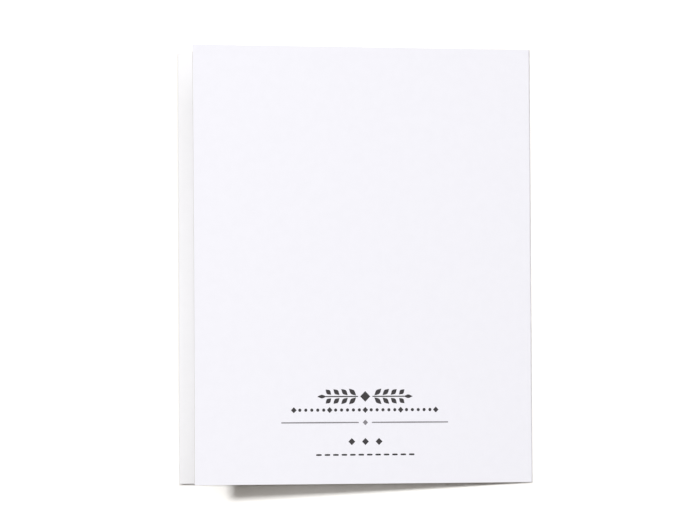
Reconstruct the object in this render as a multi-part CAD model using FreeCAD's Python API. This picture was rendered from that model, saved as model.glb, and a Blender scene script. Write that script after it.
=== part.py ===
import FreeCAD, Part
import math
import os

# A greeting card: one rectangular sheet of cover stock, scored and folded once, lying on its front leaf
# while the back leaf springs up off it. The fold runs along Y on the +X side. The front leaf's outside
# face is at Z = 0, and the origin is at the middle of the card's footprint.

# Driving dimensions, in millimetres and degrees
leaf_width = 114.3          # free edge to the outermost line of the fold
card_height = 139.7         # along the fold
stock_thickness = 0.4       # 16 point cover stock
fold_inner_radius = 0.25    # a scored crease, folded flat once and let go
bead_radius = 0.15          # the ridge that the scoring rule raises inside the fold
opening_angle = 24.0        # between the front leaf and the back leaf's chord
bow_angle = 4.0             # how much the back leaf's slope eases from its crease to its free edge

fold_outer_radius = fold_inner_radius + stock_thickness
flat_length = leaf_width - fold_outer_radius
fold_centre_x = leaf_width / 2 - fold_outer_radius
free_edge_x = -leaf_width / 2
crease_slope = opening_angle + bow_angle / 2
fold_sweep = 180.0 - crease_slope
bow_radius = flat_length / math.radians(bow_angle)


def point(x, z):
    """A point of the card's section, on its lower end face."""
    return FreeCAD.Vector(x, -card_height / 2, z)


def about(centre, radius, degrees):
    """The point at a radius and an angle about a centre, with 0 degrees along +X and 90 along +Z."""
    turn = math.radians(degrees)
    return centre + FreeCAD.Vector(radius * math.cos(turn), 0, radius * math.sin(turn))


def line(start, end):
    return Part.LineSegment(start, end).toShape()


def arc(centre, radius, start_degrees, end_degrees):
    middle_degrees = (start_degrees + end_degrees) / 2
    ends = [about(centre, radius, turn) for turn in (start_degrees, middle_degrees, end_degrees)]
    return Part.Arc(*ends).toShape()


def sheet_section():
    """The folded sheet's section as one closed face: flat front leaf, fold, bowed back leaf."""
    floor_turn = -90.0
    crease_turn = floor_turn + fold_sweep
    free_turn = crease_turn + bow_angle
    fold_centre = point(fold_centre_x, fold_outer_radius)
    crease = about(fold_centre, fold_outer_radius, crease_turn)
    bow_centre = about(crease, bow_radius, crease_turn + 180.0)
    bow_inner_radius = bow_radius - stock_thickness

    outside_free = point(free_edge_x, 0)
    outside_fold = point(fold_centre_x, 0)
    inside_fold = point(fold_centre_x, stock_thickness)
    inside_free = point(free_edge_x, stock_thickness)
    lifted_outside = about(bow_centre, bow_radius, free_turn)
    lifted_inside = about(bow_centre, bow_inner_radius, free_turn)

    outline = [
        line(outside_free, outside_fold),
        arc(fold_centre, fold_outer_radius, floor_turn, crease_turn),
        arc(bow_centre, bow_radius, crease_turn, free_turn),
        line(lifted_outside, lifted_inside),
        arc(bow_centre, bow_inner_radius, free_turn, crease_turn),
        arc(fold_centre, fold_inner_radius, crease_turn, floor_turn),
        line(inside_fold, inside_free),
        line(inside_free, outside_free),
    ]
    return Part.Face(Part.Wire(outline))


def score_bead():
    """The rounded ridge along the inside of the fold, midway round it and half sunk in the sheet."""
    fold_centre = point(fold_centre_x, fold_outer_radius)
    middle_turn = -90.0 + fold_sweep / 2
    foot = about(fold_centre, fold_inner_radius, middle_turn)
    return Part.makeCylinder(bead_radius, card_height, foot, FreeCAD.Vector(0, 1, 0))


def folded_card():
    sheet = sheet_section().extrude(FreeCAD.Vector(0, card_height, 0))
    return sheet.fuse(score_bead()).removeSplitter()


os.makedirs("parts", exist_ok=True)
folded_card().exportStep("parts/folded_card.step")
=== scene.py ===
import math

import bmesh
import bpy
from mathutils import Euler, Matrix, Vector


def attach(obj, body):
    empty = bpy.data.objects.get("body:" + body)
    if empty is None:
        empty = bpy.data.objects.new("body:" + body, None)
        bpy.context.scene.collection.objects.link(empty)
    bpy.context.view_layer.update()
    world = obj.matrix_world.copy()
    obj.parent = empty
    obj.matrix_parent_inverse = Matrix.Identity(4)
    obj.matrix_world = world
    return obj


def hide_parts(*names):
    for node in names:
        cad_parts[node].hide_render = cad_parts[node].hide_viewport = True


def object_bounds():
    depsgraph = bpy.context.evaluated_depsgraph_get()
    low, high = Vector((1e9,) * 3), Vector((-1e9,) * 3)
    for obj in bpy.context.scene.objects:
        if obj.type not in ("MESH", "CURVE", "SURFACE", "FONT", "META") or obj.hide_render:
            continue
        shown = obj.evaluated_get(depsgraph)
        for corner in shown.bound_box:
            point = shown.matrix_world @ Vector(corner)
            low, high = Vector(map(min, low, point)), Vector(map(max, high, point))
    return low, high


bl_info = {
    "name": "Greeting Card",
    "version": (1, 0, 0),
    "blender": (4, 5, 0),
    "location": "View3D > Sidebar > Greeting Card",
    "description": "A folded card of smooth white cover stock, with a printed ornament on its back leaf",
    "category": "Object",
}

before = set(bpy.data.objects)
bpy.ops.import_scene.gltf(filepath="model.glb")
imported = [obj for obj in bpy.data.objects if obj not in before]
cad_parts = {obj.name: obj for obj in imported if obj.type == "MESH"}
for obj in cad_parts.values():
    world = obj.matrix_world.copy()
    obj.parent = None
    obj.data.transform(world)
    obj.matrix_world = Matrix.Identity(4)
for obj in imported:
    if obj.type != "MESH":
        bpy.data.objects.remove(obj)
CAD_LOW, CAD_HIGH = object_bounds()

MM = 0.001
FOLD_AXIS = (0, -1, 0)      # turns from the floor, out to +X and back over the front leaf
IMAGE_WIDTH = 700           # pixels across the picture that the camera is matched to


# Colours and nodes

def linear(hex_colour):
    """An sRGB hex colour, such as F3F2F8, as linear red, green, blue and alpha."""
    channels = [int(hex_colour[i:i + 2], 16) / 255 for i in (0, 2, 4)]
    return [c / 12.92 if c <= 0.04045 else ((c + 0.055) / 1.055) ** 2.4 for c in channels] + [1.0]


def socket(sockets, name):
    """The socket of that name that is in use: a node with several data types has one for each."""
    return next(s for s in sockets if s.name == name and s.enabled)


def add_node(tree, kind, settings=None, inputs=None):
    """Adds a node. An input goes by its name, or by its number where several share one name.

    Its value is a (node, output name) to link from, or what the input is set to.
    """
    node = tree.nodes.new(kind)
    for name, value in (settings or {}).items():
        setattr(node, name, value)
    for name, value in (inputs or {}).items():
        end = node.inputs[name] if isinstance(name, int) else socket(node.inputs, name)
        if isinstance(value, tuple) and isinstance(value[0], bpy.types.Node):
            tree.links.new(socket(value[0].outputs, value[1]), end)
        else:
            end.default_value = value
    return node


def seen_directly(tree):
    """1 for a ray from the camera, mirrored or refracted on its way or not, and 0 for any other."""
    rays = add_node(tree, "ShaderNodeLightPath")
    seen = (rays, "Is Camera Ray")
    for kind in ("Is Glossy Ray", "Is Transmission Ray"):
        either = add_node(tree, "ShaderNodeMath", {"operation": "MAXIMUM"}, {0: seen, 1: (rays, kind)})
        seen = (either, "Value")
    return seen


def new_material(name):
    """A material with no nodes yet."""
    material = bpy.data.materials.new(name)
    material.use_nodes = True
    material.node_tree.nodes.clear()
    return material


# Sizes and colours that a user would change

class CardSizes(bpy.types.PropertyGroup):
    """The sheet, its fold and how it has settled."""

    leaf_width: bpy.props.FloatProperty(
        name="Leaf width", description="From a leaf's free edge to the outermost line of the fold",
        default=CAD_HIGH.x - CAD_LOW.x, min=0.02, unit="LENGTH")
    card_height: bpy.props.FloatProperty(
        name="Card height", description="Along the fold",
        default=CAD_HIGH.y - CAD_LOW.y, min=0.02, unit="LENGTH")
    stock_thickness: bpy.props.FloatProperty(
        name="Stock thickness", description="16 point cover stock",
        default=0.4 * MM, min=0.05 * MM, unit="LENGTH", precision=5)
    fold_inner_radius: bpy.props.FloatProperty(
        name="Fold inner radius", description="A scored crease, folded flat once and let go",
        default=0.25 * MM, min=0.05 * MM, unit="LENGTH", precision=5)
    bead_radius: bpy.props.FloatProperty(
        name="Bead radius", description="The ridge that the scoring rule raises inside the fold",
        default=0.15 * MM, min=0.02 * MM, unit="LENGTH", precision=5)
    opening_angle: bpy.props.FloatProperty(
        name="Opening", description="Between the front leaf and the back leaf's chord",
        default=math.radians(24.0), min=0.05, max=2.5, unit="ROTATION")
    bow_angle: bpy.props.FloatProperty(
        name="Bow", description="How much the back leaf's slope eases from its crease to its free edge",
        default=math.radians(4.0), min=0.005, max=1.0, unit="ROTATION")
    corner_droop: bpy.props.FloatProperty(
        name="Corner droop", description="How far the back leaf's free corners hang below its middle",
        default=0.45 * MM, min=0.0, unit="LENGTH", precision=5)
    corner_lift: bpy.props.FloatProperty(
        name="Corner lift", description="How far the front leaf's lower free corner curls up",
        default=3.0 * MM, min=0.0, unit="LENGTH", precision=5)


class CardColours(bpy.types.PropertyGroup):
    """The stock, the ink and the table."""

    outside: bpy.props.FloatVectorProperty(
        name="Outside", description="Bluish white of the stock's brightened side",
        subtype="COLOR", size=4, min=0.0, max=1.0, default=linear("F3F3FB"))
    # Painted shade: the inside is a more neutral white than the outside. This stands in for the warmer
    # light that reaches the inside in the back leaf's shade.
    inside: bpy.props.FloatVectorProperty(
        name="Inside", description="Neutral white of the stock's other side",
        subtype="COLOR", size=4, min=0.0, max=1.0, default=linear("F4F4F7"))
    cut_edge: bpy.props.FloatVectorProperty(
        name="Cut edge", description="The stock's core, where the guillotine has cut it",
        subtype="COLOR", size=4, min=0.0, max=1.0, default=linear("E4E2E4"))
    ink: bpy.props.FloatVectorProperty(
        name="Ink", description="Offset black, dried into the paper",
        subtype="COLOR", size=4, min=0.0, max=1.0, default=linear("2B292B"))
    pale_ink: bpy.props.FloatVectorProperty(
        name="Pale ink", description="A light tint of the same black",
        subtype="COLOR", size=4, min=0.0, max=1.0, default=linear("77757A"))
    table: bpy.props.FloatVectorProperty(
        name="Table", description="Plain pale table top",
        subtype="COLOR", size=4, min=0.0, max=1.0, default=linear("F3F2F0"))


# Where the folded sheet lies

LOWER_CORNER_BIAS = 0.3     # the back leaf's lower corner droops more by this share, its upper one less
UPPER_CORNER_CURL = 0.25    # the share of the front leaf's curl that reaches its upper corner


class Fold:
    """The centres, radii and turns that the sheet is folded round, all worked out from the sizes."""

    def __init__(self, sizes):
        self.stock = sizes.stock_thickness
        self.inner_radius = sizes.fold_inner_radius
        self.outer_radius = self.inner_radius + self.stock
        self.bead_radius = sizes.bead_radius
        self.leaf_length = sizes.leaf_width - self.outer_radius
        self.height = sizes.card_height
        self.free_edge = Vector((-sizes.leaf_width / 2, -self.height / 2, 0))
        self.centre = Vector((sizes.leaf_width / 2 - self.outer_radius, 0, self.outer_radius))
        self.bow_angle = sizes.bow_angle
        self.sweep = math.pi - sizes.opening_angle - self.bow_angle / 2
        self.crease_turn = self.sweep - math.pi / 2
        self.bow_radius = self.leaf_length / self.bow_angle
        crease = self.centre + self.outer_radius * self.outward(self.crease_turn)
        self.bow_centre = crease - self.bow_radius * self.outward(self.crease_turn)
        self.droop = -sizes.corner_droop * self.outward(math.pi / 2 - sizes.opening_angle)
        self.lift = Vector((0, 0, sizes.corner_lift))

    @staticmethod
    def outward(turn):
        """The direction at a turn about the fold, with 0 along +X and a quarter turn along +Z."""
        return Vector((math.cos(turn), 0, math.sin(turn)))

    def depth(self, point):
        """How far in a point of the swept sheet is from the outside face."""
        if point.x > self.centre.x:
            across = point - self.centre
            return self.outer_radius - math.hypot(across.x, across.z)
        if point.z < self.centre.z:
            return point.z
        across = point - self.bow_centre
        return self.bow_radius - math.hypot(across.x, across.z)

    def settled(self, point):
        """The point after the paper has settled, which shows towards the free corners of both leaves."""
        from_fold = (self.centre.x - point.x) / self.leaf_length
        if from_fold <= 0:
            return point
        up_the_card = 2 * point.y / self.height
        if point.z > self.centre.z:
            share = up_the_card ** 2 * (1 - LOWER_CORNER_BIAS * up_the_card)
            return point + self.droop * (from_fold ** 2 * share)
        share = UPPER_CORNER_CURL + (1 - UPPER_CORNER_CURL) * (0.5 - 0.5 * up_the_card) ** 2
        return point + self.lift * (from_fold ** 4 * share)

    def on_back_leaf(self, from_crease, up_the_card, proud):
        """A point this far from the crease, above the card's lower edge and out from the outside face."""
        turn = self.crease_turn + from_crease / self.bow_radius
        point = self.bow_centre + (self.bow_radius + proud) * self.outward(turn)
        point.y = up_the_card - self.height / 2
        return self.settled(point)


# Building with bmesh operators

def swept(bm, geometry, centre=(0, 0, 0), angle=0.0, steps=1, slide=(0, 0, 0)):
    """Sweeps geometry about the fold's direction, or along a slide at each step. Returns its far end."""
    made = bmesh.ops.spin(
        bm, geom=geometry, cent=centre, axis=FOLD_AXIS, dvec=slide, angle=angle, steps=steps)
    return made["geom_last"]


def as_piece(bm, name, materials):
    """The finished mesh as an object at the origin that rides on the card's one body."""
    mesh = bpy.data.meshes.new(name)
    bm.to_mesh(mesh)
    bm.free()
    for material in materials:
        mesh.materials.append(material)
    piece = bpy.data.objects.new(name, mesh)
    bpy.context.collection.objects.link(piece)
    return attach(piece, "root")


# Materials

PULP_CLOUD = 3.0 * MM       # across one cloud
FELT = 0.35 * MM            # about 0.05 mm in the stock, drawn coarser so that it shows
CRACKS = (0.12 * MM, 2.0 * MM)          # how far apart they lie, and how long they are
CRACKS_RISE = (-1.2 * MM, 0.2 * MM)     # where they start and are full, from the fold's centre
PULP_LAYER = (0.06 * MM, 4.0 * MM)      # how thick one is, and how far it runs before it merges


def cover_stock(name, colour, fold):
    """Cover stock: bleached pulp, calendered smooth and left uncoated. Its outside is a blue-white. Its
    inside is given a more neutral white, which is painted shade for the warmer light that reaches it
    under the back leaf.

    To the eye it is a chalky white with no gloss, faintly cloudy where the pulp lies thicker, with a fine
    felt of fibres. Along the fold the felt is strained into short cracks.
    """
    material = new_material(name)
    tree = material.node_tree
    place = (add_node(tree, "ShaderNodeTexCoord"), "Object")

    clouds = add_node(tree, "ShaderNodeTexNoise", inputs={
        "Vector": place, "Scale": 1 / PULP_CLOUD, "Detail": 3.0, "Roughness": 0.5})
    felt = add_node(tree, "ShaderNodeTexNoise", inputs={
        "Vector": place, "Scale": 1 / FELT, "Detail": 4.0, "Roughness": 0.6})

    apart, length = CRACKS
    along_fold = add_node(tree, "ShaderNodeMapping", inputs={
        "Vector": place, "Scale": (1 / apart, 1 / length, 1 / apart)})
    cracks = add_node(tree, "ShaderNodeTexNoise", inputs={
        "Vector": (along_fold, "Vector"), "Scale": 1.0, "Detail": 2.0, "Roughness": 0.5})
    across = add_node(tree, "ShaderNodeSeparateXYZ", inputs={"Vector": place})
    start, full = (fold.centre.x + edge for edge in CRACKS_RISE)
    strained = add_node(tree, "ShaderNodeMapRange", {"interpolation_type": "SMOOTHSTEP"}, {
        "Value": (across, "X"), "From Min": start, "From Max": full, "To Min": 0.0, "To Max": 1.0})

    thin_pulp = [0.99 * c for c in colour[:3]] + [1.0]
    thickness = add_node(tree, "ShaderNodeMapRange", inputs={
        "Value": (clouds, "Fac"), "From Min": 0.35, "From Max": 0.65, "To Min": 0.0, "To Max": 1.0})
    paper = add_node(tree, "ShaderNodeMix", {"data_type": "RGBA"}, {
        "Factor": (thickness, "Result"), "A": thin_pulp, "B": colour})
    tooth = add_node(tree, "ShaderNodeMapRange", inputs={
        "Value": (felt, "Fac"), "From Min": 0.3, "From Max": 0.7, "To Min": 0.74, "To Max": 0.88})

    felted = add_node(tree, "ShaderNodeBump", inputs={
        "Height": (felt, "Fac"), "Strength": 0.3, "Distance": 0.02 * MM})
    creased = add_node(tree, "ShaderNodeBump", inputs={
        "Height": (cracks, "Fac"), "Strength": (strained, "Result"), "Distance": 0.05 * MM,
        "Normal": (felted, "Normal")})
    shader = add_node(tree, "ShaderNodeBsdfPrincipled", inputs={
        "Base Color": (paper, "Result"), "Roughness": (tooth, "Result"), "Normal": (creased, "Normal"),
        "IOR": 1.5, "Specular IOR Level": 0.3})
    add_node(tree, "ShaderNodeOutputMaterial", inputs={"Surface": (shader, "BSDF")})
    return material


def cut_edge(colours):
    """Cut cover stock: the guillotine shears through the pulp's layers.

    To the eye the edge is duller and greyer than the face, with fine streaks along it.
    """
    material = new_material("cover_stock_cut_edge")
    tree = material.node_tree
    place = (add_node(tree, "ShaderNodeTexCoord"), "Object")

    thickness, run = PULP_LAYER
    layered = add_node(tree, "ShaderNodeMapping", inputs={
        "Vector": place, "Scale": (1 / run, 1 / run, 1 / thickness)})
    layers = add_node(tree, "ShaderNodeTexNoise", inputs={
        "Vector": (layered, "Vector"), "Scale": 1.0, "Detail": 3.0, "Roughness": 0.6})
    pale_layer = [min(1.0, 1.08 * c) for c in colours.cut_edge[:3]] + [1.0]
    pulp = add_node(tree, "ShaderNodeMix", {"data_type": "RGBA"}, {
        "Factor": (layers, "Fac"), "A": colours.cut_edge, "B": pale_layer})
    sheared = add_node(tree, "ShaderNodeBump", inputs={
        "Height": (layers, "Fac"), "Strength": 0.6, "Distance": 0.03 * MM})
    shader = add_node(tree, "ShaderNodeBsdfPrincipled", inputs={
        "Base Color": (pulp, "Result"), "Normal": (sheared, "Normal"), "Roughness": 0.95,
        "Specular IOR Level": 0.15})
    add_node(tree, "ShaderNodeOutputMaterial", inputs={"Surface": (shader, "BSDF")})
    return material


def offset_ink(name, colour):
    """Offset ink: a thin film pressed into uncoated stock, which drinks it.

    To the eye it is matt and nearly even, a little mottled where the stock's felt stands through.
    """
    material = new_material(name)
    tree = material.node_tree
    place = (add_node(tree, "ShaderNodeTexCoord"), "Object")

    mottle = add_node(tree, "ShaderNodeTexNoise", inputs={
        "Vector": place, "Scale": 1 / FELT, "Detail": 4.0, "Roughness": 0.6})
    thin_film = [min(1.0, 1.5 * c + 0.01) for c in colour[:3]] + [1.0]
    film = add_node(tree, "ShaderNodeMix", {"data_type": "RGBA"}, {
        "Factor": (mottle, "Fac"), "A": colour, "B": thin_film})
    dried = add_node(tree, "ShaderNodeMapRange", inputs={
        "Value": (mottle, "Fac"), "From Min": 0.3, "From Max": 0.7, "To Min": 0.55, "To Max": 0.75})
    shader = add_node(tree, "ShaderNodeBsdfPrincipled", inputs={
        "Base Color": (film, "Result"), "Roughness": (dried, "Result"), "IOR": 1.5,
        "Specular IOR Level": 0.3})
    add_node(tree, "ShaderNodeOutputMaterial", inputs={"Surface": (shader, "BSDF")})
    return material


def table_top(colours, sizes):
    """Chalk-painted board: flat and dead matt, with no grain. To the eye it is a plain warm white.

    The camera sees it brighter than the card does, so that all of it but the card's shadow goes to white.
    This glare fades close round the front leaf, which paints a band of shade along the leaf's edge. The
    table's real contact shade also shows through it as a fine line.
    """
    material = new_material("chalk_painted_board")
    tree = material.node_tree
    place = (add_node(tree, "ShaderNodeTexCoord"), "Object")
    from_middle = add_node(tree, "ShaderNodeVectorMath", {"operation": "ABSOLUTE"}, {0: place})
    past_leaf = add_node(tree, "ShaderNodeVectorMath", {"operation": "SUBTRACT"}, {
        0: (from_middle, "Vector"), 1: (sizes.leaf_width / 2, sizes.card_height / 2, 0)})
    sides = add_node(tree, "ShaderNodeSeparateXYZ", inputs={"Vector": (past_leaf, "Vector")})
    gap = add_node(tree, "ShaderNodeMath", {"operation": "MAXIMUM"}, {0: (sides, "X"), 1: (sides, "Y")})
    # Painted shade: within about a millimetre of the front leaf's outline the glare is less, so the table
    # is darker there
    start, full = GLARE_RISES
    glare = add_node(tree, "ShaderNodeMapRange", {"interpolation_type": "SMOOTHSTEP"}, {
        "Value": (gap, "Value"), "From Min": start, "From Max": full,
        "To Min": GLARE_IN_PAINTED_EDGE_SHADE, "To Max": 1.0})
    seen = add_node(tree, "ShaderNodeMath", {"operation": "MULTIPLY"}, {
        0: (glare, "Result"), 1: seen_directly(tree)})
    glaring = [TABLE_GLARE * c for c in colours.table[:3]] + [1.0]
    paint = add_node(tree, "ShaderNodeMix", {"data_type": "RGBA"}, {
        "Factor": (seen, "Value"), "A": colours.table, "B": glaring})
    shader = add_node(tree, "ShaderNodeBsdfDiffuse", inputs={"Color": (paint, "Result")})
    add_node(tree, "ShaderNodeOutputMaterial", inputs={"Surface": (shader, "BSDF")})
    return material


# The card

ROWS = 56                  # steps along the card's height
LEAF_STEPS = 50            # steps across each leaf
FOLD_STEPS = 54            # steps round the fold, small enough to carry the bead
CUT_ROUNDING = 0.08 * MM   # the guillotine rolls the sheet's edges over a little
CUT_CORNER = math.radians(60)     # an edge that turns by more than this was cut
SHADED_SHARP = math.radians(20)   # and by more than this it isn't shaded smooth
OUTSIDE, INSIDE, CUT = 0, 1, 2    # the sheet's materials


def raise_bead(bm, fold):
    """Lifts the sheet's inside face over a round bead, midway round the fold."""
    bead_turn = fold.sweep / 2 - math.pi / 2
    near_enough = 0.02 * fold.stock
    for vertex in bm.verts:
        arm = vertex.co - fold.centre
        arm.y = 0
        if abs(arm.length - fold.inner_radius) > near_enough or vertex.co.x < fold.centre.x:
            continue
        apart = math.atan2(arm.z, arm.x) - bead_turn
        offset = fold.inner_radius * math.sin(apart)
        if abs(offset) < fold.bead_radius:
            reach = fold.inner_radius * math.cos(apart) - math.sqrt(fold.bead_radius ** 2 - offset ** 2)
            vertex.co -= arm.normalized() * (fold.inner_radius - reach)


def paint_sheet(bm, fold):
    """Gives each face the material of the outside, the inside, or the cut edges round the sheet."""
    free_turn = fold.crease_turn + fold.bow_angle
    along_free_edge = fold.outward(free_turn + math.pi / 2)
    lifted_edge = fold.bow_centre + fold.bow_radius * fold.outward(free_turn)
    for face in bm.faces:
        middle = face.calc_center_median()
        on_end = abs(middle.y) > fold.height / 2 - CUT_ROUNDING
        on_front_edge = abs(middle.x - fold.free_edge.x) < CUT_ROUNDING
        from_edge = abs((middle - lifted_edge).dot(along_free_edge))
        on_back_edge = middle.z > fold.centre.z and from_edge < CUT_ROUNDING
        if on_end or on_front_edge or on_back_edge:
            face.material_index = CUT
        elif fold.depth(middle) > fold.stock / 2:
            face.material_index = INSIDE
        else:
            face.material_index = OUTSIDE


def round_cut_edges(bm):
    """Takes the razor sharpness off every right-angled edge."""
    corners = [edge for edge in bm.edges if edge.calc_face_angle(0.0) > CUT_CORNER]
    bmesh.ops.bevel(
        bm, geom=corners, offset=CUT_ROUNDING, segments=2, profile=0.5, material=-1, affect="EDGES")


class CARD_OT_fold_sheet(bpy.types.Operator):
    """Sweeps the sheet's cut edge along the front leaf, round the fold and up the back leaf"""

    bl_idname = "card.fold_sheet"
    bl_label = "Fold the sheet"

    def execute(self, context):
        fold = Fold(context.scene.card_sizes)
        colours = context.scene.card_colours
        bm = bmesh.new()
        corner = bm.verts.new(fold.free_edge)
        swept(bm, [corner], steps=ROWS, slide=(0, fold.height / ROWS, 0))
        swept(bm, bm.verts[:] + bm.edges[:], slide=(0, 0, fold.stock))
        edge = bm.verts[:] + bm.edges[:] + bm.faces[:]
        edge = swept(bm, edge, steps=LEAF_STEPS, slide=(fold.leaf_length / LEAF_STEPS, 0, 0))
        edge = swept(bm, edge, fold.centre, fold.sweep, FOLD_STEPS)
        swept(bm, edge, fold.bow_centre, fold.bow_angle, LEAF_STEPS)
        bmesh.ops.recalc_face_normals(bm, faces=bm.faces[:])
        raise_bead(bm, fold)
        round_cut_edges(bm)
        paint_sheet(bm, fold)
        for vertex in bm.verts:
            vertex.co = fold.settled(vertex.co)
        for face in bm.faces:
            face.smooth = True
        sheet = as_piece(bm, "card_sheet", [
            cover_stock("cover_stock_outside", colours.outside, fold),
            # The inside's more neutral white is painted shade, for the warm light under the back leaf
            cover_stock("cover_stock_inside_painted_shade", colours.inside, fold),
            cut_edge(colours)])
        sheet.data.set_sharp_from_angle(angle=SHADED_SHARP)
        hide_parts("folded_card")
        return {"FINISHED"}


# The printed ornament, in millimetres: x from the leaf's middle and y from the card's lower edge

INK_FILM = 0.02 * MM       # how far the ink stands proud, and how far it sinks in
INK, PALE_INK = 0, 1       # the ornament's two materials
RULE_PIECE = 2.0 * MM      # the longest straight piece, so that print follows the leaf's bow
ON_THE_CUT = 0.005 * MM    # a corner this near to where a shape is cut isn't cut off again
PINCH_POWER = 1.5          # how suddenly a leaf narrows to its points


def mark(bm, corners, ink, x, y, length, height, slant=0.0, stretch=0.0, pinch=0.0):
    """Adds one flat printed shape.

    It starts as a circle of so many corners. stretch parts its halves into a dash, and pinch draws its
    ends to points.
    """
    made = bmesh.ops.create_circle(bm, cap_ends=True, segments=corners, radius=0.5)["verts"]
    turn = math.radians(slant)
    for vertex in made:
        across, up = vertex.co.x, vertex.co.y
        up *= 1 - pinch * abs(2 * across) ** PINCH_POWER
        parted = math.copysign(stretch / 2, across) if abs(across) > 1e-4 else 0.0
        across = across * length + parted
        up *= height
        vertex.co.x = (x + across * math.cos(turn) - up * math.sin(turn)) * MM
        vertex.co.y = (y + across * math.sin(turn) + up * math.cos(turn)) * MM
        vertex.co.z = -INK_FILM
    for face in {f for vertex in made for f in vertex.link_faces}:
        face.material_index = ink


def row_of(count, pitch):
    """Places of marks in a row, spaced evenly about the leaf's middle."""
    return [(i - (count - 1) / 2) * pitch for i in range(count)]


def sprig(bm, y):
    """A stem with four pairs of leaves either side of a diamond."""
    for side in (-1, 1):
        mark(bm, 12, INK, side * 7.9, y, 0.4, 0.4, stretch=10.6)
        mark(bm, 24, INK, side * 14.6, y, 3.0, 1.2, pinch=0.8)
        for place in range(4):
            for edge in (-1, 1):
                mark(bm, 24, INK, side * (4.3 + 2.7 * place), y + edge * 1.4, 3.2 - 0.25 * place, 1.55,
                     slant=side * edge * 42, pinch=0.8)
    mark(bm, 4, INK, 0, y, 3.4, 3.4)


def bead_row(bm, y):
    """Dots, with a diamond for every sixth."""
    for number, x in enumerate(row_of(25, 2.0)):
        if number % 6 == 0:
            mark(bm, 4, INK, x, y, 1.9, 1.9)
        else:
            mark(bm, 20, INK, x, y, 1.05, 1.05)


def split_rule(bm, y):
    """A fine pale rule either side of a small diamond."""
    for side in (-1, 1):
        mark(bm, 12, PALE_INK, side * 15.2, y, 0.45, 0.45, stretch=25.6)
    mark(bm, 4, PALE_INK, 0, y, 1.8, 1.8)


def diamonds(bm, y):
    """Three diamonds, spaced out."""
    for x in row_of(3, 4.6):
        mark(bm, 4, INK, x, y, 2.3, 2.3)


def dash_row(bm, y):
    """Short dashes with round ends."""
    for x in row_of(12, 2.85):
        mark(bm, 12, INK, x, y, 0.6, 0.6, stretch=1.3)


class CARD_OT_print_ornament(bpy.types.Operator):
    """Prints the small ornament low on the back leaf's outside face"""

    bl_idname = "card.print_ornament"
    bl_label = "Print the ornament"

    def execute(self, context):
        fold = Fold(context.scene.card_sizes)
        colours = context.scene.card_colours
        bm = bmesh.new()
        sprig(bm, 27.9)
        bead_row(bm, 23.6)
        split_rule(bm, 19.6)
        diamonds(bm, 13.5)
        dash_row(bm, 9.3)
        half_width = max(abs(vertex.co.x) for vertex in bm.verts)
        cuts_a_side = int(half_width / RULE_PIECE)
        for cut in range(-cuts_a_side, cuts_a_side + 1):
            bmesh.ops.bisect_plane(
                bm, geom=bm.verts[:] + bm.edges[:] + bm.faces[:], dist=ON_THE_CUT,
                plane_co=(cut * RULE_PIECE, 0, 0), plane_no=(1, 0, 0))
        swept(bm, bm.verts[:] + bm.edges[:] + bm.faces[:], slide=(0, 0, 2 * INK_FILM))
        for vertex in bm.verts:
            across, up, proud = vertex.co
            vertex.co = fold.on_back_leaf(fold.leaf_length / 2 - across, up, proud)
        bmesh.ops.recalc_face_normals(bm, faces=bm.faces[:])
        as_piece(bm, "back_ornament", [
            offset_ink("offset_ink_black", colours.ink), offset_ink("offset_ink_tint", colours.pale_ink)])
        return {"FINISHED"}


# The stage

TABLE_WIDTH = 1.6                       # small enough that its far edge is as bright as the room
TABLE_BELOW = 0.05 * MM                 # keeps the table clear of the leaf that lies on it
TABLE_GLARE = 1.5                       # how much brighter than its paint the camera sees the table
GLARE_RISES = (0.3 * MM, 1.2 * MM)      # from here to there beyond the front leaf's edge, where the painted shade round it fades out
GLARE_IN_PAINTED_EDGE_SHADE = 0.1                       # the share of it that is left at the leaf, which paints a darker band of shade round the leaf's edge
SOFTBOXES = {               # each one's place, its size, and its level on a white that is square to it
    "key": (Vector((-0.51, 0.31, 3.45)), (0.28, 0.16), 0.555),      # high up, a little to the upper left
    "overhead": (Vector((0.10, 0.26, 1.60)), (0.5, 0.5), 0.305),    # almost straight above
    "side": (Vector((1.06, 0.42, 0.90)), (0.5, 0.5), 0.16),         # beyond the fold, above its upper end
}
WHITE = (1.0, 1.0, 1.0, 1.0)
FILL_LIGHT = (0.107, 0.096, 0.079, 1.0)     # of white, from all round: the room's warm bounce
CAMERA_PLACE = Vector((0.1521, -0.0493, 1.8))
CAMERA_TURN = Euler([math.radians(d) for d in (1.584, 4.887, -0.348)])
FOCAL_PIXELS = 5573.7                       # in the picture's own pixels


def lay_table(colours, sizes):
    """One flat square, a hair below the card."""
    bm = bmesh.new()
    bmesh.ops.create_grid(bm, x_segments=1, y_segments=1, size=TABLE_WIDTH / 2)
    bmesh.ops.translate(bm, verts=bm.verts[:], vec=(0, 0, -TABLE_BELOW))
    mesh = bpy.data.meshes.new("table_top")
    bm.to_mesh(mesh)
    bm.free()
    mesh.materials.append(table_top(colours, sizes))
    table = bpy.data.objects.new("table_top", mesh)
    bpy.context.collection.objects.link(table)


def hang_softbox(name, place, size, level):
    """A softbox that faces the card's middle, at the power that gives its level there."""
    box = bpy.data.lights.new(name, "AREA")
    box.shape = "RECTANGLE"
    box.size, box.size_y = size
    box.energy = level * (math.pi * place.length) ** 2
    lamp = bpy.data.objects.new(name, box)
    lamp.location = place
    lamp.rotation_mode = "QUATERNION"
    lamp.rotation_quaternion = Vector((0, 0, -1)).rotation_difference(-place)
    bpy.context.collection.objects.link(lamp)


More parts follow.
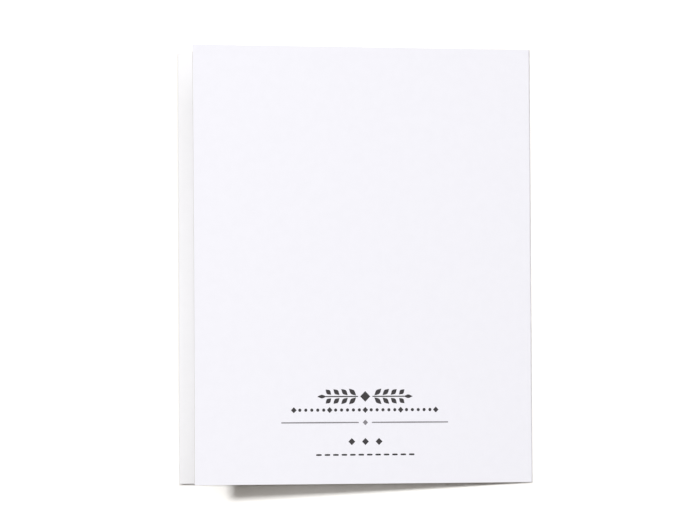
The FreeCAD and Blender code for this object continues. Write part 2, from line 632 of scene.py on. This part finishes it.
def light_room(scene):
    """An even fill from all round. Seen directly, the room is plain white."""
    world = bpy.data.worlds.new("white_room")
    world.use_nodes = True
    tree = world.node_tree
    tree.nodes.clear()
    room = add_node(tree, "ShaderNodeMix", {"data_type": "RGBA"}, {
        "Factor": seen_directly(tree), "A": FILL_LIGHT, "B": WHITE})
    light = add_node(tree, "ShaderNodeBackground", inputs={"Color": (room, "Result"), "Strength": 1.0})
    add_node(tree, "ShaderNodeOutputWorld", inputs={"Surface": (light, "Background")})
    scene.world = world


def place_camera(scene):
    """A long lens over the card, leaning a little to the fold's side."""
    lens = bpy.data.cameras.new("camera")
    lens.lens = FOCAL_PIXELS / IMAGE_WIDTH * lens.sensor_width
    camera = bpy.data.objects.new("camera", lens)
    camera.location = CAMERA_PLACE
    camera.rotation_euler = CAMERA_TURN
    bpy.context.collection.objects.link(camera)
    scene.camera = camera


class CARD_OT_set_stage(bpy.types.Operator):
    """Lays the table, hangs the lights and places the camera"""

    bl_idname = "card.set_stage"
    bl_label = "Set the stage"

    def execute(self, context):
        scene = context.scene
        lay_table(scene.card_colours, scene.card_sizes)
        for name, (place, size, level) in SOFTBOXES.items():
            hang_softbox(name, place, size, level)
        light_room(scene)
        place_camera(scene)
        scene.view_settings.view_transform = "Standard"
        return {"FINISHED"}


class CARD_PT_greeting_card(bpy.types.Panel):
    """Lists the card's pieces, sizes and colours"""

    bl_idname = "CARD_PT_greeting_card"
    bl_label = "Greeting Card"
    bl_space_type = "VIEW_3D"
    bl_region_type = "UI"
    bl_category = "Greeting Card"

    def draw(self, context):
        layout = self.layout
        for operator in OPERATORS:
            layout.operator(operator.bl_idname)
        for group in (context.scene.card_sizes, context.scene.card_colours):
            box = layout.box()
            for name in group.bl_rna.properties.keys():
                if name not in ("rna_type", "name"):
                    box.prop(group, name)


OPERATORS = (CARD_OT_fold_sheet, CARD_OT_print_ornament, CARD_OT_set_stage)
CLASSES = (CardSizes, CardColours, *OPERATORS, CARD_PT_greeting_card)


def register():
    for cls in CLASSES:
        bpy.utils.register_class(cls)
    bpy.types.Scene.card_sizes = bpy.props.PointerProperty(type=CardSizes)
    bpy.types.Scene.card_colours = bpy.props.PointerProperty(type=CardColours)


def unregister():
    del bpy.types.Scene.card_colours
    del bpy.types.Scene.card_sizes
    for cls in reversed(CLASSES):
        bpy.utils.unregister_class(cls)


def main():
    register()
    bpy.ops.card.fold_sheet()
    bpy.ops.card.print_ornament()
    bpy.ops.card.set_stage()


if __name__ == "__main__":
    main()
